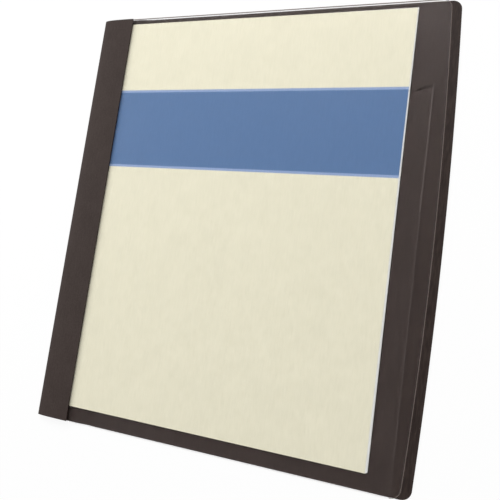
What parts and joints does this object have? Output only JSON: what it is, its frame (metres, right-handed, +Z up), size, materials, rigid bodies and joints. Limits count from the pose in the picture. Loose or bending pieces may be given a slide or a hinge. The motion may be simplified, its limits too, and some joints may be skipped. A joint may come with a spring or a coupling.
{
  "type": "report cover",
  "caption": "Clear-front report cover lying shut, with a swing-out spine clip, a cream title page with a blue band, white sheets and a dark back cover with an inside pocket.",
  "frame": {"origin": "middle of the footprint of the shut cover, on the plane of the desk it lies on", "axes": "+X runs from the spine clip to the fore edge, +Y from the foot of the pages to their head, +Z up from the desk"},
  "size_m": [0.2598, 0.2938, 0.0044],
  "materials": {
    "clip_plastic": "matte, faintly grained dark brown",
    "rivet_plastic": "satin",
    "back_poly": "satin dark brown poly sheet",
    "pocket_poly": "satin dark brown poly sheet",
    "white_paper": "uncoated",
    "cream_paper": "uncoated, printed with a plain blue band",
    "clear_sheet": "clear and glossy"
  },
  "bodies": {
    "cover": {"back_cover": "back_poly", "inside_pocket": "pocket_poly", "clear_front_margin": "clear_sheet", "title_page_margin": "cream_paper", "sheet_1_margin": "white_paper", "sheet_2_margin": "white_paper", "sheet_3_margin": "white_paper"},
    "front": {"clear_front": "clear_sheet"},
    "title": {"title_page": "cream_paper"},
    "leaf_1": {"sheet_1": "white_paper"},
    "leaf_2": {"sheet_2": "white_paper"},
    "leaf_3": {"sheet_3": "white_paper"},
    "clip": {"spine_clip": "clip_plastic", "pivot_rivet": "rivet_plastic"}
  },
  "joints": [
    {"name": "cover_turn", "type": "hinge", "parent": "cover", "child": "front", "pos_m": [-0.09645, 0, 0.00337], "axis": [0, -1, 0], "range_deg": [0, 150]},
    {"name": "title_turn", "type": "hinge", "parent": "cover", "child": "title", "pos_m": [-0.09395, 0, 0.00287], "axis": [0, -1, 0], "range_deg": [0, 146]},
    {"name": "leaf_1_turn", "type": "hinge", "parent": "cover", "child": "leaf_1", "pos_m": [-0.09295, 0, 0.00255], "axis": [0, -1, 0], "range_deg": [0, 144]},
    {"name": "leaf_2_turn", "type": "hinge", "parent": "cover", "child": "leaf_2", "pos_m": [-0.09195, 0, 0.00225], "axis": [0, -1, 0], "range_deg": [0, 142]},
    {"name": "leaf_3_turn", "type": "hinge", "parent": "cover", "child": "leaf_3", "pos_m": [-0.09095, 0, 0.00195], "axis": [0, -1, 0], "range_deg": [0, 139]},
    {"name": "clip_swing", "type": "hinge", "parent": "cover", "child": "clip", "pos_m": [-0.11765, -0.1419, 0], "axis": [0, 0, 1], "range_deg": [0, 90]}
  ],
  "couplings": [
    {"joint": "title_turn", "follows": "cover_turn", "ratio": 0.97},
    {"joint": "leaf_1_turn", "follows": "cover_turn", "ratio": 0.955},
    {"joint": "leaf_2_turn", "follows": "cover_turn", "ratio": 0.94},
    {"joint": "leaf_3_turn", "follows": "cover_turn", "ratio": 0.925}
  ]
}
